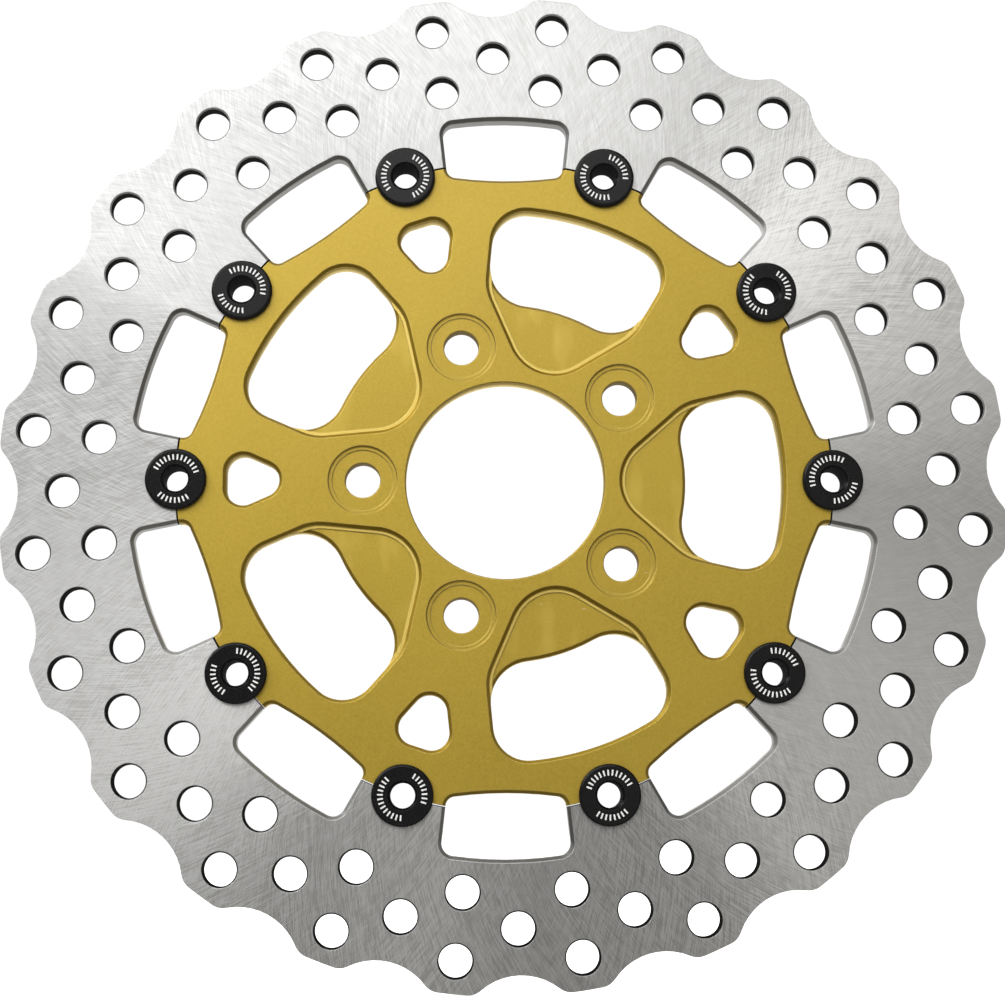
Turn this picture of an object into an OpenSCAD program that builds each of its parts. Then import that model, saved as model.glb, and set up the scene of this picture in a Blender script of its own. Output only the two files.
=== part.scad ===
// Floating brake disc rotor for a motorcycle front wheel.
// A drilled steel friction ring floats on a milled aluminium carrier. Ten turned
// bobbins sit half in the ring and half in the carrier, each held from behind
// by a wave washer, a flat washer and a circlip.
//
// Each sub-part is drawn about local Z with the wheel side at z = 0 and the outer
// face towards +Z, then stood upright so that local +Z points to -Y.

/* [Build] */
// Sub-part to draw, or "all" for the whole assembly

/* [Friction ring] */
// Thickness of the steel ring
ring_thick = 5.08; // [3.5:0.01:6.5]
// Radius over the tips of the lobes
tip_r = 146.05; // [130:0.05:165]
// Number of lobes round the rim
lobes = 24; // [12:1:36]
// Radius at the bottom of a valley between two lobes
valley_floor_r = 140.25; // [134:0.05:144]
// Radius of the concave valley
valley_r = 17.7; // [10:0.1:30]
// Radius of the rounded shoulder of a lobe
shoulder_r = 5.5; // [2:0.1:8]
// Angle of the first valley and of the first middle-row hole
rim_turn = 1.5; // [0:0.1:7.5]
// Diameter of a drilled hole
drill_d = 9.5; // [5:0.1:12]
// Edge break of a drilled hole
drill_break = 0.4; // [0.1:0.1:1]
// Pitch radius of the inner row of holes
row_in_r = 118; // [112:0.5:122]
// Pitch radius of the middle row of holes
row_mid_r = 127.5; // [123:0.5:132]
// Pitch radius of the outer row of holes
row_out_r = 137; // [132:0.5:140]
// Radius of the outer wall of a ring window
ring_window_r = 108.3; // [102:0.1:113]
// Half width of a ring window
ring_window_half = 17.6; // [14:0.1:20]
// Height at which the half width of a ring window is measured
ring_half_at = 97; // [90:0.5:105]
// Lean of each side of a ring window away from its axis, in degrees
ring_window_lean = 6.2; // [0:0.1:12]
// Corner radius of a ring window
ring_window_corner = 3.5; // [2:0.1:6]
// Width of the bevel round a ring window
ring_bevel = 1; // [0.2:0.1:1.5]

/* [Carrier] */
// Thickness of the carrier plate
carrier_thick = 6.35; // [5:0.05:10]
// Pitch radius of the bobbins, and middle of the gap between ring and carrier
bobbin_pitch_r = 95; // [85:0.5:105]
// Width of the gap between the ring lugs and the carrier lugs
lug_gap = 0.25; // [0.15:0.05:1]
// Diameter of the hub bore
hub_bore_d = 57.6; // [50:0.1:65]
// Edge break of the hub bore
hub_break = 0.3; // [0.1:0.1:1]
// Diameter of the bolt circle
bolt_circle_d = 82.55; // [70:0.05:100]
// Diameter of a bolt hole
bolt_hole_d = 10.1; // [8:0.1:12]
// Diameter of the outer step of a bolt seat
seat_outer_d = 19.8; // [16:0.1:24]
// Diameter of the inner step of a bolt seat
seat_inner_d = 17.8; // [14:0.1:22]
// Depth of the outer step of a bolt seat
seat_outer_depth = 0.8; // [0.3:0.05:2]
// Depth of the inner step of a bolt seat
seat_inner_depth = 1.2; // [0.4:0.05:3]
// Edge break of a bolt seat
seat_break = 0.25; // [0.1:0.05:0.6]
// Edge break of a bolt hole and of the half holes for the bobbins
hole_break = 0.2; // [0.1:0.05:0.6]
// Radius of the recess behind each lug, which clears the washers
washer_recess_r = 9.3; // [8.8:0.1:10]
// Width of the bevel round the openings and the sagging rim of the carrier
carrier_bevel = 0.9; // [0.2:0.1:1.5]
// Lowest height of the sagging rim between two lugs
sag_floor = 89.7; // [80:0.1:94]
// Radius of the sagging rim between two lugs
sag_r = 115; // [60:1:300]
// Fillet where the sagging rim runs up to a lug
sag_fillet = 2.8; // [1:0.1:6]

/* [Carrier windows] */
// Radius of the outer wall of a big window
window_r = 80.9; // [70:0.1:85]
// Corner radius at the outer end of a big window
window_corner = 10.1; // [4:0.1:15]
// Half width of a big window at its reference height, along the leaning side
window_half = 24.47; // [15:0.05:28]
// Reference height for the half width of a big window
window_half_at = 62; // [50:0.5:75]
// Lean of the long side of a big window, in degrees
window_lean = 12.5; // [0:0.5:25]
// Corner radius where the through opening meets the pocket floor
dip_corner = 12; // [6:0.5:20]
// Height of the top of the hump in the free edge of the pocket floor
hump_top = 52.45; // [45:0.05:60]
// Radius of the hump in the free edge of the pocket floor
hump_r = 53.6; // [30:0.1:90]
// Depth of the pocket floor below the outer face
pocket_depth = 1.75; // [0.5:0.05:4]
// Depth of the narrow ledge round the pocket
ledge_depth = 1.35; // [0.3:0.05:4]
// Width of the narrow ledge round the pocket
ledge_wide = 0.9; // [0.2:0.1:2]
// Height of the lowest point of a pocket wall
pocket_floor = 33.9; // [31:0.1:45]
// Radius of the pocket wall at its lowest point
pocket_nose = 13.1; // [6:0.1:20]
// Angle of the slanting pocket wall from the window axis, in degrees
pocket_slant = 41.35; // [25:0.05:60]
// Corner radius where the slanting wall meets the long side
pocket_corner = 14.1; // [6:0.1:20]
// Corner radius of a lightening hole in a spoke
light_corner = 5; // [3:0.1:8]
// Half distance between the two outer corner centres of a lightening hole
light_half = 2.42; // [1:0.01:5]
// Height of the outer corner centres of a lightening hole
light_top = 75.7; // [70:0.1:80]
// Height of the inner corner centre of a lightening hole
light_low = 70.3; // [64:0.1:74]

/* [Bobbins] */
// Diameter of the flange
flange_d = 17.6; // [14:0.1:20]
// Thickness of the flange
flange_thick = 1.9; // [1:0.1:3]
// Rounding of the flange edge
flange_round = 0.8; // [0.2:0.1:1.2]
// Diameter of the body
body_d = 12; // [9:0.1:14]
// Diametral clearance between a body and its two half holes
body_play = 0.1; // [0.04:0.01:0.2]
// Diameter of the through bore
bobbin_bore_d = 7.2; // [5:0.1:9]
// Widening of the bore at its mouth
mouth_break = 0.75; // [0.1:0.05:1.2]
// Length of the body behind the ring
tail = 3.37; // [2.5:0.01:5]
// Edge break at the end of the tail
tail_break = 0.3; // [0.1:0.1:0.6]
// Depth of the circlip groove
groove_deep = 0.6; // [0.3:0.05:1]
// Play of the circlip in the groove, on each side and at the bottom
groove_play = 0.05; // [0.02:0.01:0.1]

/* [Washers and circlips] */
// Outer diameter of both washers
washer_d = 17; // [14:0.1:19]
// Diametral clearance of both washers on the body
washer_play = 0.2; // [0.1:0.05:0.6]
// Thickness of the wave washer strip
wave_thick = 0.35; // [0.2:0.05:0.6]
// Room taken up by the wave washer, as fitted
wave_room = 0.8; // [0.4:0.05:1.5]
// Thickness of the flat washer
flat_thick = 0.8; // [0.5:0.05:1.5]
// Thickness of the circlip
clip_thick = 1; // [0.6:0.05:1.5]
// Radial width of the circlip
clip_wide = 1.7; // [1:0.1:2.5]
// Width of the opening of the circlip
clip_open = 5; // [3:0.1:8]
// Radius of the ear at each end of the circlip
ear_r = 1.5; // [1:0.1:2.5]
// Radius of the eye in an ear
eye_r = 0.7; // [0.4:0.1:1.2]

/* [Hidden] */
bobbins = 10;
spokes = 5;
step = 360 / bobbins;
spoke_step = 360 / spokes;
lift = 0.2;
over = 1;
bevel_reach = 0.3;
bevel_step = 0.02;
bevel_run_on = 12;
floor_bevel_end = -30;
lug_run_out = 8;
ring_back = carrier_thick - ring_thick;
ring_lug_r = bobbin_pitch_r + lug_gap / 2;
carrier_lug_r = bobbin_pitch_r - lug_gap / 2;
valley_centre_r = valley_floor_r + valley_r;
shoulder_centre_r = tip_r - shoulder_r;
shoulder_reach = valley_r + shoulder_r;
shoulder_turn = acos((pow(valley_centre_r, 2) + pow(shoulder_centre_r, 2)
    - pow(shoulder_reach, 2)) / (2 * valley_centre_r * shoulder_centre_r));
clip_z = ring_back - wave_room - flat_thick - clip_thick;
tail_z = ring_back - tail;
$fn = 96;

function numbered(kind, i) = str(kind, i < 10 ? "_0" : "_", i);

function polar(r, a) = [r * cos(a), r * sin(a)];

// Unit vectors along and square to a line that leans by a from +Y, towards +X.
function along(a) = [sin(a), cos(a)];
function square_to(a) = [cos(a), -sin(a)];

// Centre of a corner of radius r that touches the inside of a line through p leaning
// by a, and lies at the distance reach from the point pole.
function corner_on_line(p, a, r, pole, reach) =
    let (base = p - r * square_to(a), q = base - pole, t = along(a))
    base + (sqrt(pow(q * t, 2) - q * q + reach * reach) - q * t) * t;

// Centre of a corner of radius r inside two lines: through p leaning by a, through q by b.
function corner_of_lines(p, a, q, b, r) =
    let (m = square_to(a), n = square_to(b), s = p * m - r, u = q * n - r,
        d = m[0] * n[1] - m[1] * n[0])
    [(s * n[1] - u * m[1]) / d, (m[0] * u - n[0] * s) / d];

function flip(p) = [-p[0], p[1]];

// Big window: corner centres of the right half, which every inset of it shares.
side_at = [window_half, window_half_at];
nose_at = [0, pocket_floor + pocket_nose];
slant_at = nose_at + pocket_nose * square_to(pocket_slant);
top_at = corner_on_line(side_at, window_lean, window_corner, [0, 0], window_r - window_corner);
bend_at = corner_of_lines(side_at, window_lean, slant_at, pocket_slant, pocket_corner);
hump_at = [0, hump_top - hump_r];
dip_at = corner_on_line(side_at, window_lean, dip_corner, hump_at, hump_r + dip_corner);

// Ring window: corner centre of the right half.
ring_side_at = [ring_window_half, ring_half_at];
ring_corner_at = corner_on_line(ring_side_at, ring_window_lean, ring_window_corner, [0, 0],
    ring_window_r - ring_window_corner);

// Lightening hole: corner centres and the lean of its two sides.
light_out = [light_half, light_top];
light_in = [0, light_low];
light_lean = atan2(light_half, light_top - light_low);

// Scallop between two lugs: the centre of the sag and of the fillet at its right end.
sag_at = [0, sag_floor + sag_r];
scallop_foot = ring_side_at;
sag_corner_at = let (base = scallop_foot - sag_fillet * square_to(ring_window_lean),
    q = base - sag_at, t = along(ring_window_lean), reach = sag_r - sag_fillet)
    base + (-sqrt(pow(q * t, 2) - q * q + reach * reach) - q * t) * t;

module disc(p, r) translate(p) circle(r);

// Piece of the disc of radius r about pole, beyond p and its mirror image.
module cap(p, r, pole = [0, 0]) intersection() {
    disc(pole, r);
    polygon([flip(p), flip(pole + 1.3 * (p - pole)), pole + 1.3 * (p - pole), p]);
}

// Full outline of a big window with its pocket, every wall moved in by e.
module window_outline(e = 0) {
    half = [top_at,
        top_at + (window_corner - e) * square_to(window_lean),
        bend_at + (pocket_corner - e) * square_to(window_lean),
        bend_at,
        bend_at + (pocket_corner - e) * square_to(pocket_slant),
        nose_at + (pocket_nose - e) * square_to(pocket_slant)];
    polygon(concat(half, [nose_at], [for (i = [len(half) - 1:-1:0]) flip(half[i])]));
    cap(top_at, window_r - e);
    disc(nose_at, pocket_nose - e);
    for (s = [0, 1]) mirror([s, 0]) {
        disc(top_at, window_corner - e);
        disc(bend_at, pocket_corner - e);
    }
}

// Opening that goes right through: the window without the pocket floor.
// Moving the free edge by e keeps its corner centres.
module window_through(e = 0) {
    half = [top_at,
        top_at + window_corner * square_to(window_lean),
        dip_at + dip_corner * square_to(window_lean),
        dip_at];
    polygon(concat(half, [for (i = [len(half) - 1:-1:0]) flip(half[i])]));
    cap(top_at, window_r);
    for (s = [0, 1]) mirror([s, 0]) {
        disc(top_at, window_corner);
        disc(dip_at, dip_corner + e);
    }
    difference() {
        polygon([flip(dip_at), dip_at, hump_at]);
        disc(hump_at, hump_r - e);
    }
}

// Opening between two lugs of the friction ring, running inwards past the lugs.
module ring_window() {
    low = ring_side_at - 20 * along(ring_window_lean);
    half = [ring_corner_at, ring_corner_at + ring_window_corner * square_to(ring_window_lean),
        low];
    polygon(concat(half, [for (i = [len(half) - 1:-1:0]) flip(half[i])]));
    cap(ring_corner_at, ring_window_r);
    for (s = [0, 1]) mirror([s, 0]) disc(ring_corner_at, ring_window_corner);
}

// What is left open between two lugs of the carrier, running outwards past the lugs.
module scallop() {
    high = ring_side_at + lug_run_out * along(ring_window_lean);
    half = [high, sag_corner_at + sag_fillet * square_to(ring_window_lean), sag_corner_at];
    polygon(concat(half, [for (i = [len(half) - 1:-1:0]) flip(half[i])]));
    for (s = [0, 1]) mirror([s, 0]) disc(sag_corner_at, sag_fillet);
    cap(sag_corner_at, sag_r, sag_at);
}

// Rounded triangle in a spoke.
module light_hole() {
    side = light_corner * square_to(light_lean);
    polygon([light_in, light_in + side, light_out + side, light_out, light_out + [0, light_corner],
        flip(light_out + [0, light_corner]), flip(light_out), flip(light_out + side),
        flip(light_in + side)]);
    for (p = [light_in, light_out, flip(light_out)]) disc(p, light_corner);
}

// Lobed rim: the tip circle less the valleys, with the shoulder of each lobe rounded.
module rim() {
    difference() {
        circle(tip_r);
        for (i = [0:lobes - 1]) rotate(rim_turn + i * 360 / lobes) {
            translate([valley_centre_r, 0]) circle(valley_r);
            for (s = [0, 1]) mirror([0, s]) difference() {
                polygon([[valley_centre_r, 0], polar(valley_centre_r + 4, shoulder_turn),
                    polar(shoulder_centre_r, shoulder_turn)]);
                translate(polar(shoulder_centre_r, shoulder_turn)) circle(shoulder_r);
            }
        }
    }
}

// Bevel cutters. Each one removes a 45 degree edge of width c below the face at z = 0,
// and reaches a little way into the opening, where there is nothing to cut.
// A closed bevel is a chain of corner arcs and long stretches. The corners run on past
// their ends and the long stretches are cut bevel_step shallower, so that the cuts cross.
// Arc wall of radius r about pole, through the angles a to b: s = 1 where the opening
// is on the side of the pole, s = -1 where the metal is.
module bevel_arc(pole, r, a, b, c, s = 1) translate([pole[0], pole[1], 0])
    rotate([0, 0, a]) rotate_extrude(angle = b - a)
    polygon([[r - s * bevel_reach, -c - bevel_reach], [r + s * (c + lift), lift],
        [r - s * bevel_reach, lift]]);

// Corner arc, run on past both ends.
module bevel_corner(pole, r, a, b, c)
    bevel_arc(pole, r, a - bevel_run_on, b + bevel_run_on, c);

// Straight wall from p to q, with the opening on the left.
module bevel_line(p, q, c) translate([p[0], p[1], 0])
    rotate([0, 0, heading(q - p)]) rotate([90, 0, 90]) linear_extrude(norm(q - p))
    polygon([[bevel_reach, -c - bevel_reach], [-c - lift, lift], [bevel_reach, lift]]);

// Round hole.
module bevel_hole(r, c) translate([0, 0, -c])
    cylinder(h = c + lift, r1 = r, r2 = r + c + lift);

function heading(p) = atan2(p[1], p[0]);

// Bevel round the outline of a big window at the outer face.
module window_bevel(c) {
    long = c - bevel_step;
    turn = heading(top_at);
    bevel_corner(nose_at, pocket_nose, pocket_slant - 180, -pocket_slant, c);
    bevel_arc([0, 0], window_r, turn, 180 - turn, long);
    for (s = [0, 1]) mirror([s, 0, 0]) {
        bevel_line(nose_at + pocket_nose * square_to(pocket_slant),
            bend_at + pocket_corner * square_to(pocket_slant), long);
        bevel_corner(bend_at, pocket_corner, -pocket_slant, -window_lean, c);
        bevel_line(bend_at + pocket_corner * square_to(window_lean),
            top_at + window_corner * square_to(window_lean), long);
        bevel_corner(top_at, window_corner, -window_lean, turn, c);
    }
}

// Bevel along the free edge of the pocket floor.
module floor_bevel(c) {
    turn = heading(dip_at - hump_at);
    bevel_arc(hump_at, hump_r, turn, 180 - turn, c - bevel_step, -1);
    for (s = [0, 1]) mirror([s, 0, 0])
        bevel_arc(dip_at, dip_corner, turn - 180 - bevel_run_on, floor_bevel_end, c);
}

// Bevel round a lightening hole.
module light_bevel(c) {
    long = c - bevel_step;
    bevel_corner(light_in, light_corner, light_lean - 180, -light_lean, c);
    bevel_line(light_out + [0, light_corner], flip(light_out) + [0, light_corner], long);
    for (s = [0, 1]) mirror([s, 0, 0]) {
        bevel_line(light_in + light_corner * square_to(light_lean),
            light_out + light_corner * square_to(light_lean), long);
        bevel_corner(light_out, light_corner, -light_lean, 90, c);
    }
}

// Bevel along the sagging rim of the carrier and up the sides of the lugs.
module scallop_bevel(c) {
    long = c - bevel_step;
    turn = heading(sag_corner_at - sag_at);
    bevel_arc(sag_at, sag_r, -180 - turn, turn, long);
    for (s = [0, 1]) mirror([s, 0, 0]) {
        bevel_corner(sag_corner_at, sag_fillet, turn, -ring_window_lean, c);
        bevel_line(sag_corner_at + sag_fillet * square_to(ring_window_lean),
            ring_side_at + lug_run_out * along(ring_window_lean), long);
    }
}

// Bevel round a ring window, down to the lugs.
module ring_window_bevel(c) {
    long = c - bevel_step;
    turn = heading(ring_corner_at);
    bevel_arc([0, 0], ring_window_r, turn, 180 - turn, long);
    for (s = [0, 1]) mirror([s, 0, 0]) {
        bevel_corner(ring_corner_at, ring_window_corner, -ring_window_lean, turn, c);
        bevel_line(ring_side_at - 6 * along(ring_window_lean),
            ring_corner_at + ring_window_corner * square_to(ring_window_lean), long);
    }
}

// Drilled hole with both its edges broken, through a plate from z = a to z = b.
module drilled(r, edge, a, b) {
    translate([0, 0, a - over]) cylinder(h = b - a + 2 * over, r = r);
    for (s = [0, 1]) translate([0, 0, s * b + (1 - s) * a]) mirror([0, 0, 1 - s])
        bevel_hole(r, edge);
}

// Half holes that the bobbin bodies run in.
module bobbin_holes(a, b) for (i = [0:bobbins - 1]) rotate([0, 0, i * step])
    translate([bobbin_pitch_r, 0, 0]) drilled((body_d + body_play) / 2, hole_break, a, b);

module friction_ring() color([0.78, 0.78, 0.77]) difference() {
    translate([0, 0, ring_back]) linear_extrude(ring_thick) difference() {
        rim();
        circle(ring_lug_r);
        for (i = [0:bobbins - 1]) rotate(step / 2 + i * step - 90) ring_window();
    }
    for (i = [0:bobbins - 1]) rotate([0, 0, step / 2 + i * step - 90])
        translate([0, 0, carrier_thick]) ring_window_bevel(ring_bevel);
    for (i = [0:lobes - 1], row = [0:2])
        rotate([0, 0, rim_turn + (i + (row == 1 ? 0 : 0.5)) * 360 / lobes])
            translate([[row_in_r, row_mid_r, row_out_r][row], 0, 0])
                drilled(drill_d / 2, drill_break, ring_back, carrier_thick);
    bobbin_holes(ring_back, carrier_thick);
}

module carrier() color([0.83, 0.7, 0.33]) difference() {
    linear_extrude(carrier_thick) difference() {
        circle(carrier_lug_r);
        for (i = [0:bobbins - 1]) rotate(step / 2 + i * step - 90) scallop();
        for (i = [0:spokes - 1]) rotate(i * spoke_step + step * 2 - 90) window_through();
        for (i = [0:spokes - 1]) rotate(i * spoke_step + step - 90) light_hole();
    }
    for (i = [0:bobbins - 1]) rotate([0, 0, step / 2 + i * step - 90])
        translate([0, 0, carrier_thick]) scallop_bevel(carrier_bevel);
    for (i = [0:spokes - 1]) rotate([0, 0, i * spoke_step + step * 2 - 90]) {
        translate([0, 0, carrier_thick]) window_bevel(carrier_bevel);
        translate([0, 0, carrier_thick - ledge_depth]) linear_extrude(ledge_depth + over)
            window_outline();
        translate([0, 0, carrier_thick - pocket_depth]) linear_extrude(pocket_depth)
            window_outline(ledge_wide);
        translate([0, 0, carrier_thick - pocket_depth]) floor_bevel(carrier_bevel);
    }
    for (i = [0:spokes - 1]) rotate([0, 0, i * spoke_step + step - 90]) {
        translate([0, 0, carrier_thick]) light_bevel(carrier_bevel);
        translate([0, bolt_circle_d / 2, 0]) bolt_seat();
    }
    translate([0, 0, -over]) cylinder(h = carrier_thick + 2 * over, d = hub_bore_d);
    translate([0, 0, carrier_thick]) bevel_hole(hub_bore_d / 2, hub_break);
    bobbin_holes(0, carrier_thick);
    for (i = [0:bobbins - 1]) rotate([0, 0, i * step]) translate([bobbin_pitch_r, 0, -over])
        cylinder(h = ring_back + over, r = washer_recess_r);
}

// Bolt hole with its two-step seat in the outer face.
module bolt_seat() {
    drilled(bolt_hole_d / 2, hole_break, 0, carrier_thick - seat_inner_depth);
    translate([0, 0, carrier_thick - seat_inner_depth])
        cylinder(h = seat_inner_depth + over, r = seat_inner_d / 2);
    translate([0, 0, carrier_thick - seat_outer_depth])
        cylinder(h = seat_outer_depth + over, r = seat_outer_d / 2);
    translate([0, 0, carrier_thick]) bevel_hole(seat_outer_d / 2, seat_break);
}

// Turned bobbin: a round-edged flange, a body, and a tail with the circlip groove.
module bobbin() color([0.1, 0.1, 0.11]) rotate_extrude() difference() {
    union() {
        translate([0, tail_z]) square([body_d / 2 - tail_break, carrier_thick - tail_z + over]);
        translate([0, tail_z + tail_break])
            square([body_d / 2, carrier_thick - tail_z - tail_break + over]);
        polygon([[0, tail_z], [body_d / 2 - tail_break, tail_z],
            [body_d / 2, tail_z + tail_break], [0, tail_z + tail_break]]);
        translate([0, carrier_thick]) square([flange_d / 2 - flange_round, flange_thick]);
        translate([0, carrier_thick]) square([flange_d / 2, flange_thick - flange_round]);
        translate([flange_d / 2 - flange_round, carrier_thick + flange_thick - flange_round])
            circle(flange_round);
    }
    translate([0, tail_z - over]) square([bobbin_bore_d / 2, carrier_thick - tail_z + flange_thick + 2 * over]);
    translate([body_d / 2 - groove_deep, clip_z - groove_play])
        square([groove_deep + over, clip_thick + 2 * groove_play]);
    for (e = [[carrier_thick + flange_thick, mouth_break], [tail_z, -tail_break]])
        polygon([[0, e[0] - e[1]], [bobbin_bore_d / 2, e[0] - e[1]],
            [bobbin_bore_d / 2 + abs(e[1]), e[0]], [0, e[0]]]);
}

module ring_of(d_out, d_in, h) linear_extrude(h) difference() {
    circle(d_out / 2);
    circle(d_in / 2);
}

// Wave washer, drawn flat against the flat washer with its waves pressed out.
module wave_washer() color([0.62, 0.62, 0.6])
    translate([0, 0, ring_back - wave_room]) ring_of(washer_d, body_d + washer_play, wave_thick);

module flat_washer() color([0.66, 0.66, 0.65])
    translate([0, 0, ring_back - wave_room - flat_thick])
        ring_of(washer_d, body_d + washer_play, flat_thick);

// Circlip sprung into the groove, open on the side away from the hub, with an eyed ear
// at each end.
module circlip() color([0.2, 0.2, 0.21]) translate([0, 0, clip_z]) linear_extrude(clip_thick) {
    inner = body_d / 2 - groove_deep + groove_play;
    outer = inner + clip_wide;
    ear_turn = asin((clip_open / 2 + ear_r) / outer);
    difference() {
        union() {
            circle(outer);
            for (s = [-1, 1]) disc(polar(outer, s * ear_turn), ear_r);
        }
        circle(inner);
        translate([0, -clip_open / 2]) square([outer + 2 * ear_r, clip_open]);
        for (s = [-1, 1]) disc(polar(outer, s * ear_turn), eye_r);
    }
}

// Stands a sub-part of the assembly upright, with the outer face towards -Y.
module upright() rotate([90, 0, 0]) children();

// Puts a sub-part drawn about its own axis on the i-th bobbin position.
module at_bobbin(i) upright() rotate([0, 0, (i - 1) * step])
    translate([bobbin_pitch_r, 0, 0]) children();

upright() friction_ring();
upright() carrier();
for (i = [1:bobbins]) {
    at_bobbin(i) bobbin();
    at_bobbin(i) wave_washer();
    at_bobbin(i) flat_washer();
    at_bobbin(i) circlip();
}
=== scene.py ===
import math

import bpy
from mathutils import Matrix, Vector


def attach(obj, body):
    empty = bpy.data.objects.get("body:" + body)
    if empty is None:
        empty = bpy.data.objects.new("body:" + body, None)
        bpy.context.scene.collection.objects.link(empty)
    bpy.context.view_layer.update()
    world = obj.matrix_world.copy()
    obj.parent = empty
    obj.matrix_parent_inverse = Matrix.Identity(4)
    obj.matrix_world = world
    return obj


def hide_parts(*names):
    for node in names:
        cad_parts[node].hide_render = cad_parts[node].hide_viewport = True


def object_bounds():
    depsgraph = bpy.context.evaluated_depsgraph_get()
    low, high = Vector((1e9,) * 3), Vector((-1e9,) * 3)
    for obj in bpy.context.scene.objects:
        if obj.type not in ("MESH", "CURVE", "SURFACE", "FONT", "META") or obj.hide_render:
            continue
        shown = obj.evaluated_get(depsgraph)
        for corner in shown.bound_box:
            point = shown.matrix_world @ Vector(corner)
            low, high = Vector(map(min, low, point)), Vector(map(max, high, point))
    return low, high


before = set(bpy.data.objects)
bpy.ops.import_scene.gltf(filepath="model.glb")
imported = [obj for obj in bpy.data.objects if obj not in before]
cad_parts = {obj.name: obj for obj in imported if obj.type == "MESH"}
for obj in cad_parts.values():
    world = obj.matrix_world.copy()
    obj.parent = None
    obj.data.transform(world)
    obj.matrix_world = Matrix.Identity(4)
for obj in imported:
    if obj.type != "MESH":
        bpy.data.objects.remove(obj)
cad_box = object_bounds()

MM = 0.001
BOBBINS = 10
STEP = math.tau / BOBBINS
PITCH_R = 95 * MM
PLATE = 6.35 * MM
FLANGE = 1.9 * MM
LEDGE_DEPTH = 1.35 * MM
POCKET_DEPTH = 1.75 * MM
RING_BACK = 1.27 * MM
RING_FLOAT = 0.3 * MM

# Radii at which one kind of surface gives way to the next.
BOLTS_FROM_R = 35.5 * MM
BOLTS_TO_R = 47 * MM
CARRIER_LUG_R = 94.7 * MM
CARRIER_GAP_R = 94.82 * MM
RING_GAP_R = 95.28 * MM
RING_LUG_R = 95.4 * MM
DRILLED_FROM_R = 111.5 * MM
OUTER_ROW_R = 137 * MM
FADE = 0.5 * MM

# How deep the painted shade on the front of the ring's walls goes before it fades, and where it has
# faded.
DARK_WALL = 1.3 * MM
DARK_WALL_END = 1.7 * MM

# Keeps what lies in the plane of the disc.
IN_PLANE = (1, 0, 1)


# ---------------------------------------------------------------- node graphs


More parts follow.
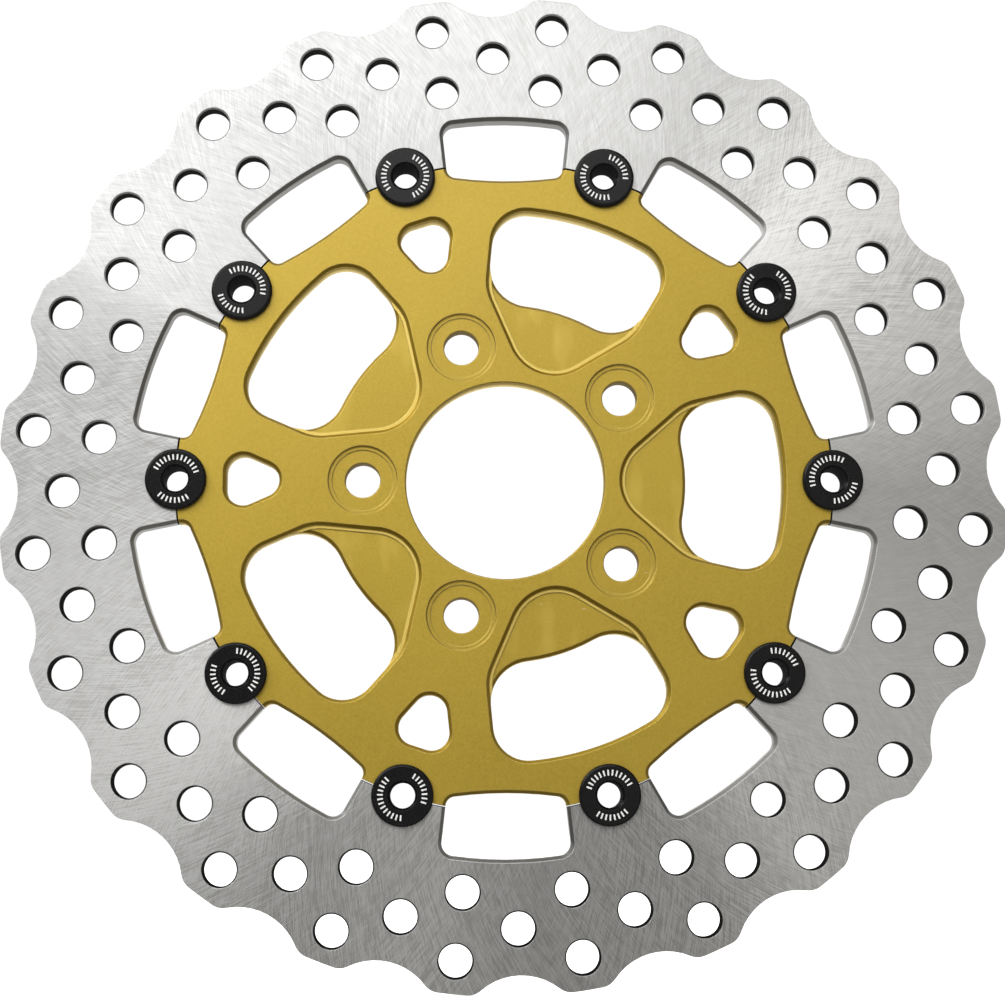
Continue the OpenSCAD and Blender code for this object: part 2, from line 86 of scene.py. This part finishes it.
class Graph:
    """The node tree of a material or a world, with a short call for each node."""

    def __init__(self, owner):
        self.owner = owner
        owner.use_nodes = True
        self.tree = owner.node_tree
        self.tree.nodes.clear()

    def add(self, kind, sockets=None, **settings):
        """One node; sockets maps an input's name or number to a value or to an output."""
        node = self.tree.nodes.new(kind)
        for key, value in settings.items():
            setattr(node, key, value)
        for key, value in (sockets or {}).items():
            if isinstance(value, bpy.types.NodeSocket):
                self.tree.links.new(value, node.inputs[key])
            else:
                node.inputs[key].default_value = value
        return node

    def math(self, operation, *values):
        node = self.add("ShaderNodeMath", dict(enumerate(values)), operation=operation)
        return node.outputs[0]

    def vector(self, operation, *values, out=0):
        node = self.add("ShaderNodeVectorMath", dict(enumerate(values)), operation=operation)
        return node.outputs[out]

    def scaled(self, vector, factor):
        sockets = {0: vector, "Scale": factor}
        return self.add("ShaderNodeVectorMath", sockets, operation="SCALE").outputs[0]

    def span(self, value, low, high, to_low, to_high):
        """Value mapped from low..high to to_low..to_high, and held there outside it."""
        sockets = {0: value, 1: low, 2: high, 3: to_low, 4: to_high}
        return self.add("ShaderNodeMapRange", sockets).outputs[0]

    def noise(self, vector, scale, detail=2.0, rough=0.5):
        sockets = {"Vector": vector, "Scale": scale, "Detail": detail, "Roughness": rough}
        return self.add("ShaderNodeTexNoise", sockets).outputs[0]

    def blend(self, factor, low, high):
        """Colour from low to high by factor."""
        sockets = {0: factor, 6: low, 7: high}
        return self.add("ShaderNodeMix", sockets, data_type="RGBA").outputs[2]

    def position(self):
        return self.add("ShaderNodeTexCoord").outputs["Object"]

    def depth(self, place):
        """How far back the place is: zero at the back of the carrier, -PLATE at its face."""
        return self.add("ShaderNodeSeparateXYZ", {0: place}).outputs[1]

    def normal(self):
        """The flat normal of the surface, in the object's own frame."""
        normal = self.add("ShaderNodeNewGeometry").outputs["True Normal"]
        return self.add("ShaderNodeVectorTransform", {0: normal}, vector_type="NORMAL",
                        convert_from="WORLD", convert_to="OBJECT").outputs[0]

    def facing(self):
        """How squarely the surface faces along the wheel axis, from 0 to 1."""
        along = self.add("ShaderNodeSeparateXYZ", {0: self.normal()}).outputs[1]
        return self.math("ABSOLUTE", along)

    def towards(self, ray, degrees):
        """Cosine of the angle between the ray and that direction in the plane of the disc."""
        angle = math.radians(degrees)
        way = (math.cos(angle), 0, math.sin(angle))
        return self.vector("DOT_PRODUCT", ray, way, out=1)

    def level(self, depth, at, facing):
        """One on the flat faces at that depth, else zero."""
        off = self.math("ABSOLUTE", self.math("SUBTRACT", depth, at))
        return self.math("MULTIPLY", self.span(off, 0.02 * MM, 0.08 * MM, 1, 0),
                         self.span(facing, 0.9, 0.97, 0, 1))

    def rounded(self, edge):
        """Normal of the surface with its sharp edges rounded off by that radius."""
        return self.add("ShaderNodeBevel", {"Radius": edge}, samples=4).outputs[0]

    def edge_highlight(self, rounded):
        """Mask for painted edge highlights: one along the sharp edges, which the rounded normal
        leans away from, else zero.
        """
        true = self.add("ShaderNodeNewGeometry").outputs["True Normal"]
        return self.span(self.vector("DOT_PRODUCT", rounded, true, out=1), 0.97, 0.999, 1, 0)

    def relief(self, height, depth, rounded):
        """Normal of a height field that deep, laid over the rounded surface."""
        return self.add("ShaderNodeBump", {"Height": height, "Strength": 1.0, "Distance": depth,
                                           "Normal": rounded}).outputs[0]

    def finish(self, sockets, height, depth, rounded):
        """The shader, with that relief."""
        sockets["Normal"] = self.relief(height, depth, rounded)
        shader = self.add("ShaderNodeBsdfPrincipled", sockets)
        self.add("ShaderNodeOutputMaterial", {"Surface": shader.outputs[0]})
        return self.owner


def material_graph(name):
    return Graph(bpy.data.materials.new(name))


# ---------------------------------------------------------------- ground steel of the ring


def strokes(g, place, turn, across, along, seed):
    """Grinding strokes that cross the radius at a slant: noise drawn out along spirals."""
    radius = g.vector("LENGTH", g.vector("MULTIPLY", place, IN_PLANE), out=1)
    angle = g.math("MULTIPLY", radius, turn)
    swept = g.add("ShaderNodeVectorRotate", {"Vector": place, "Angle": angle},
                  rotation_type="Y_AXIS").outputs[0]
    flat = g.vector("NORMALIZE", g.vector("MULTIPLY", swept, IN_PLANE))
    spread = g.vector("MULTIPLY", flat, (across, 0, across))
    outwards = g.math("MULTIPLY_ADD", radius, along, seed)
    lift = g.add("ShaderNodeCombineXYZ", {1: outwards}).outputs[0]
    return g.noise(g.vector("ADD", spread, lift), 1.0, 2.0, 0.6)


def grinding(g, place, ray, facing):
    """Height of the strokes on the flat faces, and zero on the others."""
    down = g.towards(ray, -90)
    right = strokes(g, place, 4.3, 400, 140, 3.0)
    left = strokes(g, place, -4.0, 380, 130, 9.0)
    fine = strokes(g, place, 2.6, 700, 170, 17.0)
    loose = strokes(g, place, -6.0, 430, 200, 29.0)
    # The two main sets come and go in patches, and the loose scratches are mostly low down.
    cloud = g.noise(place, 26, 3)
    patch = g.noise(g.vector("ADD", place, (0.3, 0.1, 0.7)), 34, 2)
    right_cut = g.math("MULTIPLY", g.span(right, 0.34, 0.66, -1.1, 1.1),
                       g.span(cloud, 0.38, 0.6, 0.2, 1))
    left_cut = g.math("MULTIPLY", g.span(left, 0.34, 0.66, -1.1, 1.1),
                      g.span(patch, 0.38, 0.6, 0.2, 1))
    scratch = g.math("MULTIPLY", g.span(loose, 0.6, 0.68, 0, 0.9),
                     g.span(down, -0.2, 0.6, 0.5, 1.2))
    mottle = g.span(g.noise(place, 420, 3, 0.6), 0.3, 0.7, -0.3, 0.3)
    cut = g.math("ADD", right_cut, left_cut)
    for more in (g.span(fine, 0.34, 0.66, -0.65, 0.65), scratch, mottle):
        cut = g.math("ADD", cut, more)
    cut = g.math("MULTIPLY", cut, g.span(facing, 0.9, 0.97, 0, 1))
    # The strokes show least at the lower right and at the top left, and most at the bottom.
    calm = g.span(g.towards(ray, -18), 0.7, 0.97, 1, 0.4)
    soft = g.span(g.towards(ray, 105), 0.3, 0.8, 1, 0.48)
    low = g.span(down, 0.2, 0.85, 1, 1.65)
    return g.math("MULTIPLY", cut, g.math("MULTIPLY", calm, g.math("MULTIPLY", soft, low)))


def painted_sheen_round(g, ray):
    """Painted sheen and shade round the ring: two opposite parts are painted brighter, the lowest
    one darker.
    """
    broad = g.math("ABSOLUTE", g.towards(ray, 30))
    narrow = g.math("ABSOLUTE", g.towards(ray, 39))
    painted_shine = g.math("ADD", g.span(broad, 0.85, 0.98, 1, 1.4),
                   g.span(narrow, 0.985, 0.997, 0, 0.2))
    north = g.span(g.towards(ray, 105), 0.7, 0.95, 1, 0.93)
    south = g.span(g.towards(ray, -76), 0.92, 0.985, 1, 0.7)
    west = g.span(g.towards(ray, 162), 0.985, 0.995, 1, 0.86)
    return g.math("MULTIPLY", g.math("MULTIPLY", painted_shine, north),
                  g.math("MULTIPLY", south, west))


def shadows(g, ray, radius, wall, bevel):
    """Mask of painted shadow: one on the walls of the drilled holes and along the lug gaps, else
    zero.
    """
    # Past the middle of the outer row, the walls that face outwards belong to the rim.
    outwards = g.span(g.vector("DOT_PRODUCT", g.normal(), ray, out=1), 0.1, 0.4, 0, 1)
    rim = g.math("MULTIPLY", g.span(radius, OUTER_ROW_R, OUTER_ROW_R + FADE, 0, 1), outwards)
    drilled = g.math("MULTIPLY", g.span(radius, DRILLED_FROM_R, DRILLED_FROM_R + FADE, 0, 1),
                     g.math("SUBTRACT", 1.0, rim))
    # The broken edges of the holes get painted shade too, most of all in the lower half.
    edge = g.math("MULTIPLY", bevel, g.span(g.towards(ray, -90), -0.6, 0.2, 0.25, 1))
    holes = g.math("MULTIPLY", g.math("MAXIMUM", wall, edge), drilled)
    return g.math("MAXIMUM", holes, g.span(radius, RING_GAP_R, RING_LUG_R, 1, 0))


def ground_steel():
    g = material_graph("ground_steel")
    place = g.position()
    flat = g.vector("MULTIPLY", place, IN_PLANE)
    radius = g.vector("LENGTH", flat, out=1)
    ray = g.vector("NORMALIZE", flat)
    facing = g.facing()
    rounded = g.rounded(0.32 * MM)
    cut = grinding(g, place, ray, facing)
    tone = g.span(cut, -1.2, 1.2, 0, 1)
    bright = g.blend(tone, (0.46, 0.455, 0.445, 1), (0.71, 0.718, 0.716, 1))
    # The colour carries a painted sheen and painted shade round the ring.
    bright = g.scaled(bright, painted_sheen_round(g, ray))
    # Painted shade: the bevel and the front of the wall under it are darkened, and the back of the
    # wall is not.
    wall = g.span(facing, 0.2, 0.5, 1, 0)
    bevel = g.math("MULTIPLY", g.span(facing, 0.2, 0.4, 0, 1), g.span(facing, 0.85, 0.95, 1, 0))
    front = g.span(g.depth(place), DARK_WALL - PLATE, DARK_WALL_END - PLATE, 1, 0)
    shade = g.math("MAXIMUM", bevel, g.math("MULTIPLY", wall, front))
    bright = g.scaled(bright, g.span(shade, 0, 1, 1, 0.62))
    # A painted highlight along the sharp edges.
    bright = g.blend(g.math("MULTIPLY", g.edge_highlight(rounded), 0.6), bright, (0.9, 0.9, 0.89, 1))
    # The hole walls and the lug gaps are painted near black as painted shadow, and lose their metal
    # sheen.
    painted_shadow = shadows(g, ray, radius, wall, bevel)
    colour = g.blend(painted_shadow, bright, (0.012, 0.0115, 0.011, 1))
    unshadowed = g.math("SUBTRACT", 1.0, painted_shadow)
    rough = g.math("MULTIPLY_ADD", bevel, 0.2, g.span(tone, 0.2, 0.8, 0.42, 0.34))
    bump = g.relief(cut, 0.004 * MM, rounded)
    around = g.vector("CROSS_PRODUCT", (0, 1, 0), ray)
    around = g.add("ShaderNodeVectorTransform", {0: around}, vector_type="VECTOR",
                   convert_from="OBJECT", convert_to="WORLD").outputs[0]
    # The strokes cross, so half of the sheen runs round the disc and half of it outwards.
    sheens = []
    for turn in (0.0, 0.25):
        sheens.append(g.add("ShaderNodeBsdfPrincipled", {
            "Base Color": colour, "Metallic": unshadowed, "Specular IOR Level": 0.0,
            "Roughness": rough, "Anisotropic": 0.8,
            "Anisotropic Rotation": turn, "Tangent": around, "Normal": bump}).outputs[0])
    both = g.add("ShaderNodeMixShader", {0: 0.5, 1: sheens[0], 2: sheens[1]}).outputs[0]
    g.add("ShaderNodeOutputMaterial", {"Surface": both})
    return g.owner


# ---------------------------------------------------------------- the other finishes


def gold_anodised():
    g = material_graph("gold_anodised")
    place = g.position()
    depth = g.depth(place)
    radius = g.vector("LENGTH", g.vector("MULTIPLY", place, IN_PLANE), out=1)
    facing = g.facing()
    rounded = g.rounded(0.32 * MM)
    grain = g.noise(place, 1500, 3, 0.7)
    cloud = g.noise(place, 30, 3)
    nicks = g.noise(g.vector("MULTIPLY", place, (1, 1, 4)), 160, 4, 0.7)
    colour = g.blend(g.span(cloud, 0.3, 0.7, 0, 1), (0.5, 0.345, 0.03, 1), (0.54, 0.38, 0.037, 1))
    colour = g.blend(g.span(grain, 0.3, 0.7, 0, 0.5), colour, (0.75, 0.55, 0.08, 1))
    colour = g.blend(g.span(nicks, 0.7, 0.76, 0, 0.6), colour, (0.9, 0.8, 0.5, 1))
    # The bevels are painted a darker gold, as painted shade.
    bevel = g.math("MULTIPLY", g.span(facing, 0.2, 0.4, 0, 1), g.span(facing, 0.85, 0.93, 1, 0))
    colour = g.blend(g.math("MULTIPLY", bevel, 0.8), colour, (0.47, 0.315, 0.018, 1))
    # The walls are painted dark at the front and paler towards the back: painted shade and painted
    # light.
    wall = g.span(facing, 0.2, 0.4, 1, 0)
    back = g.span(depth, -4 * MM, -0.8 * MM, 0, 1)
    side = g.blend(back, (0.18, 0.12, 0.008, 1), (0.52, 0.41, 0.15, 1))
    colour = g.blend(wall, colour, side)
    # A painted highlight along the sharp edges.
    colour = g.blend(g.math("MULTIPLY", g.edge_highlight(rounded), 0.6), colour, (0.9, 0.74, 0.26, 1))
    # The ledge round each pocket is cut with the side of the mill and is smoother; its brighter
    # colour is a painted highlight.
    ledge = g.level(depth, LEDGE_DEPTH - PLATE, facing)
    colour = g.blend(g.math("MULTIPLY", ledge, 0.7), colour, (0.98, 0.76, 0.2, 1))
    # The floors of the pockets get lighter streaks: painted reflection bands.
    streaks = g.noise(g.vector("MULTIPLY", place, (1, 1, 0.4)), 110, 2)
    floor = g.level(depth, POCKET_DEPTH - PLATE, facing)
    painted_streaks = g.math("MULTIPLY", floor, g.span(streaks, 0.5, 0.68, 0, 0.6))
    colour = g.blend(painted_streaks, colour, (0.76, 0.57, 0.1, 1))
    # The walls of the bolt holes are painted dark as shade, and the lugs along their gap as painted
    # shadow.
    bolts = g.math("MULTIPLY", g.span(radius, BOLTS_FROM_R, BOLTS_FROM_R + FADE, 0, 1),
                   g.span(radius, BOLTS_TO_R - FADE, BOLTS_TO_R, 1, 0))
    colour = g.blend(g.math("MULTIPLY", bolts, wall), colour, (0.13, 0.085, 0.01, 1))
    gap = g.span(radius, CARRIER_LUG_R, CARRIER_GAP_R, 0, 1)
    colour = g.blend(gap, colour, (0.02, 0.014, 0.003, 1))
    # The walls are as milled under the dye, so they scatter light rather than mirror it.
    matt = g.math("MAXIMUM", wall, gap)
    return g.finish({"Base Color": colour, "Metallic": g.span(matt, 0, 1, 1, 0.15),
                     "Roughness": g.span(grain, 0.3, 0.7, 0.5, 0.6), "Specular IOR Level": 0.1,
                     "Coat Weight": g.span(matt, 0, 1, 0.65, 0.05), "Coat Roughness": 0.38},
                    grain, 0.025 * MM, rounded)


def black_anodised():
    g = material_graph("black_anodised")
    rounded = g.rounded(0.15 * MM)
    grain = g.noise(g.position(), 2500, 3, 0.6)
    colour = g.blend(g.span(grain, 0.3, 0.7, 0, 1),
                     (0.002, 0.002, 0.0021, 1), (0.0045, 0.0045, 0.0047, 1))
    # A painted highlight along the sharp edges of the bobbin.
    colour = g.blend(g.math("MULTIPLY", g.edge_highlight(rounded), 0.5), colour, (0.06, 0.06, 0.062, 1))
    # The walls of the bore are rougher than the turned faces.
    extra = g.span(g.facing(), 0.02, 0.12, 0.6, 0)
    rough = g.math("ADD", g.span(grain, 0.3, 0.7, 0.24, 0.32), extra)
    return g.finish({"Base Color": colour, "Metallic": 0.0, "Roughness": rough,
                     "Specular IOR Level": 0.22}, grain, 0.004 * MM, rounded)


def plain_metal(name, low, high, rough):
    g = material_graph(name)
    grain = g.noise(g.position(), 1800, 3, 0.6)
    colour = g.blend(g.span(grain, 0.3, 0.7, 0, 1), low, high)
    return g.finish({"Base Color": colour, "Metallic": 1.0,
                     "Roughness": g.span(grain, 0.3, 0.7, rough, rough + 0.12)},
                    grain, 0.005 * MM, g.rounded(0.1 * MM))


def mark_grey():
    g = material_graph("mark_grey")
    grain = g.noise(g.position(), 3000, 2)
    colour = g.blend(g.span(grain, 0.3, 0.7, 0, 1), (0.5, 0.5, 0.49, 1), (0.68, 0.68, 0.67, 1))
    return g.finish({"Base Color": colour, "Roughness": 0.55},
                    grain, 0.002 * MM, g.rounded(0.02 * MM))


STEEL = ground_steel()
GOLD = gold_anodised()
BLACK = black_anodised()
SPRING = plain_metal("spring_steel", (0.5, 0.5, 0.48, 1), (0.62, 0.62, 0.6, 1), 0.28)
PLATED = plain_metal("plated_steel", (0.6, 0.6, 0.6, 1), (0.7, 0.7, 0.69, 1), 0.32)
DARK = plain_metal("dark_spring_steel", (0.06, 0.06, 0.065, 1), (0.1, 0.1, 0.105, 1), 0.4)
MARK = mark_grey()


# ---------------------------------------------------------------- CAD nodes and new meshes


def dress(obj, material):
    obj.data.materials.clear()
    obj.data.materials.append(material)


def smooth(obj):
    obj.data.polygons.foreach_set("use_smooth", [True] * len(obj.data.polygons))


def new_object(name, verts, faces, material):
    mesh = bpy.data.meshes.new(name)
    mesh.from_pydata(verts, [], faces)
    obj = bpy.data.objects.new(name, mesh)
    bpy.context.scene.collection.objects.link(obj)
    dress(obj, material)
    return obj


def bobbin_axis(i, y):
    """The point of bobbin i's axis at that depth."""
    return Vector((PITCH_R * math.cos(i * STEP), y, PITCH_R * math.sin(i * STEP)))


FINISHES = {"friction": STEEL, "carrier": GOLD, "bobbin": BLACK, "wave_washer": SPRING,
            "flat_washer": PLATED, "circlip": DARK}
for name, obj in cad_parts.items():
    dress(obj, FINISHES[name.rsplit("_", 1)[0]])
    smooth(obj)


# ---------------------------------------------------------------- wave washers

WAVES = 3
WAVE_STEPS = 120
WAVE_ROOM = 0.8 * MM
WAVE_THICK = 0.35 * MM
WAVE_IN = 6.1 * MM
WAVE_OUT = 8.5 * MM
EDGE = 0.05 * MM
CLEAR = 0.02 * MM


def wave_washer(i):
    """Wavy spring strip on the flat washer, as low as the ring squeezes it at full float."""
    squeezed = WAVE_ROOM - RING_FLOAT - CLEAR
    swing = (squeezed - WAVE_THICK) / 2
    half = WAVE_THICK / 2
    centre = bobbin_axis(i, WAVE_ROOM - RING_BACK - CLEAR / 2 - squeezed / 2)
    section = ((WAVE_IN, half - EDGE), (WAVE_IN + EDGE, half), (WAVE_OUT - EDGE, half),
               (WAVE_OUT, half - EDGE), (WAVE_OUT, EDGE - half), (WAVE_OUT - EDGE, -half),
               (WAVE_IN + EDGE, -half), (WAVE_IN, EDGE - half))
    count = len(section)
    verts, faces = [], []
    for k in range(WAVE_STEPS):
        turn = math.tau * k / WAVE_STEPS
        out = Vector((math.cos(turn), 0, math.sin(turn)))
        wave = swing * math.cos(WAVES * turn)
        for r, rise in section:
            verts.append(centre + out * r + Vector((0, wave + rise, 0)))
        here = k * count
        there = (k + 1) % WAVE_STEPS * count
        for j in range(count):
            j2 = (j + 1) % count
            faces.append((here + j, there + j, there + j2, here + j2))
    node = f"wave_washer_{i + 1:02d}"
    washer = new_object(f"{node}_pressed", verts, faces, SPRING)
    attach(washer, f"bobbin_{i + 1:02d}")
    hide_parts(node)


for i in range(BOBBINS):
    wave_washer(i)


# ---------------------------------------------------------------- index marks on the bobbins

MARK_IN = 5.5 * MM
MARK_OUT = 7.1 * MM
MARK_WIDE = 0.46 * MM
MARK_PROUD = 0.02 * MM
MARK_SINK = 0.05 * MM
MARK_PITCH = math.radians(11)
# Direction, in degrees, of the middle of the long row of marks on each bobbin.
MARK_TURNS = (130, 200, 215, 0, 55, 85, 20, 200, 95, 240)
LONG_ROW = 13
SHORT_ROW = 8
BAR_FACES = ((0, 1, 2, 3), (7, 6, 5, 4), (0, 4, 5, 1), (1, 5, 6, 2), (2, 6, 7, 3), (3, 7, 4, 0))


def bar_corners(centre, direction):
    """The eight corners of one bar of a row of marks."""
    out = Vector((math.cos(direction), 0, math.sin(direction)))
    side = Vector((-math.sin(direction), 0, math.cos(direction)))
    corners = []
    for y in (-MARK_PROUD, MARK_SINK):
        for r, s in ((MARK_IN, -1), (MARK_OUT, -1), (MARK_OUT, 1), (MARK_IN, 1)):
            corners.append(centre + out * r + side * (s * MARK_WIDE / 2) + Vector((0, y, 0)))
    return corners


def index_marks(i):
    """Two rows of bars, opposite each other, on the flange of bobbin i."""
    centre = bobbin_axis(i, -PLATE - FLANGE)
    turn = math.radians(MARK_TURNS[i])
    verts, faces = [], []
    for middle, count in ((turn, LONG_ROW), (turn + math.pi, SHORT_ROW)):
        for k in range(count):
            base = len(verts)
            verts += bar_corners(centre, middle + (k - (count - 1) / 2) * MARK_PITCH)
            faces += [tuple(base + v for v in face) for face in BAR_FACES]
    rows = new_object(f"index_marks_{i + 1:02d}", verts, faces, MARK)
    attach(rows, f"bobbin_{i + 1:02d}")


for i in range(BOBBINS):
    index_marks(i)


# ---------------------------------------------------------------- floor, light and camera

FLOOR_HALF = 4.0
FLOOR_DROP = 0.2 * MM
IMAGE_WIDE = 1005
FOCAL_PX = 2078.53


def floor_white():
    g = material_graph("floor_white")
    grain = g.noise(g.position(), 8, 2)
    colour = g.blend(grain, (0.9, 0.9, 0.9, 1), (0.93, 0.93, 0.93, 1))
    return g.finish({"Base Color": colour, "Roughness": 0.9, "Emission Color": (1, 1, 1, 1),
                     "Emission Strength": 1.0}, grain, 0.01 * MM, g.rounded(0.1 * MM))


def lay_floor():
    """A plain floor just under the disc, which the disc doesn't mirror."""
    z = cad_box[0].z - FLOOR_DROP
    corners = [(x * FLOOR_HALF, y * FLOOR_HALF, z) for x, y in ((-1, -1), (1, -1), (1, 1), (-1, 1))]
    floor = new_object("floor", corners, [(0, 1, 2, 3)], floor_white())
    floor.visible_glossy = False


def soft_light(name, place, target, wide, tall, power, colour=(1, 1, 1)):
    """A rectangle of light at place, turned to target."""
    data = bpy.data.lights.new(name, "AREA")
    data.color = colour
    data.shape = "RECTANGLE"
    data.size = wide
    data.size_y = tall
    data.energy = power
    obj = bpy.data.objects.new(name, data)
    bpy.context.scene.collection.objects.link(obj)
    obj.location = place
    obj.rotation_mode = "QUATERNION"
    obj.rotation_quaternion = (Vector(target) - Vector(place)).to_track_quat("-Z", "Y")


def light_room():
    """Room light: pale behind the disc, dim in front of it and darker towards the ground."""
    g = Graph(bpy.data.worlds.new("studio"))
    way = g.add("ShaderNodeTexCoord").outputs["Generated"]
    parts = g.add("ShaderNodeSeparateXYZ", {0: way})
    behind = g.span(parts.outputs[1], -0.1, 0.9, 0.0, 0.5)
    above = g.span(parts.outputs[2], -0.9, 0.9, 0.1, 0.2)
    # A pale patch low in front, which only the rounded edges mirror.
    low_front = g.vector("DOT_PRODUCT", way, (0, -0.92, -0.39), out=1)
    patch = g.span(low_front, 0.88, 0.98, 0.0, 0.35)
    strength = g.math("ADD", g.math("ADD", behind, above), patch)
    room = g.add("ShaderNodeBackground", {0: (1.0, 0.98, 0.95, 1), 1: strength}).outputs[0]
    # The camera itself sees plain white.
    white = g.add("ShaderNodeBackground", {0: (1, 1, 1, 1), 1: 1.05}).outputs[0]
    seen = g.add("ShaderNodeLightPath").outputs["Is Camera Ray"]
    both = g.add("ShaderNodeMixShader", {0: seen, 1: room, 2: white}).outputs[0]
    g.add("ShaderNodeOutputWorld", {0: both})
    bpy.context.scene.world = g.owner


def place_camera():
    """The camera at the photo's viewpoint: below the disc's axis, a little to its left."""
    data = bpy.data.cameras.new("camera")
    data.sensor_width = 36
    data.lens = FOCAL_PX * data.sensor_width / IMAGE_WIDE
    data.clip_start = 0.01
    data.clip_end = 50
    obj = bpy.data.objects.new("camera", data)
    bpy.context.scene.collection.objects.link(obj)
    right = Vector((0.999703, -0.02426, -0.00244)).normalized()
    ahead = Vector((0.024354, 0.988655, 0.148217)).normalized()
    up = right.cross(ahead).normalized()
    facing = Matrix((right, up, -ahead)).transposed().to_4x4()
    obj.matrix_world = Matrix.Translation((-0.01548, -0.6, -0.09487)) @ facing
    bpy.context.scene.camera = obj


lay_floor()
soft_light("key", (-0.45, -1.0, 0.8), (0, 0, 0.02), 1.5, 1.0, 13)
soft_light("fill", (0.6, -1.2, 0.15), (0, 0, 0), 1.2, 1.2, 1.5, (1, 0.95, 0.88))
soft_light("side", (-0.95, -0.26, 0.75), (0, 0, 0), 1.1, 0.45, 5)
soft_light("back", (0.2, 1.2, 1.0), (0, 0, 0), 1.5, 1.0, 10)
light_room()
place_camera()
bpy.context.scene.view_settings.view_transform = "Standard"
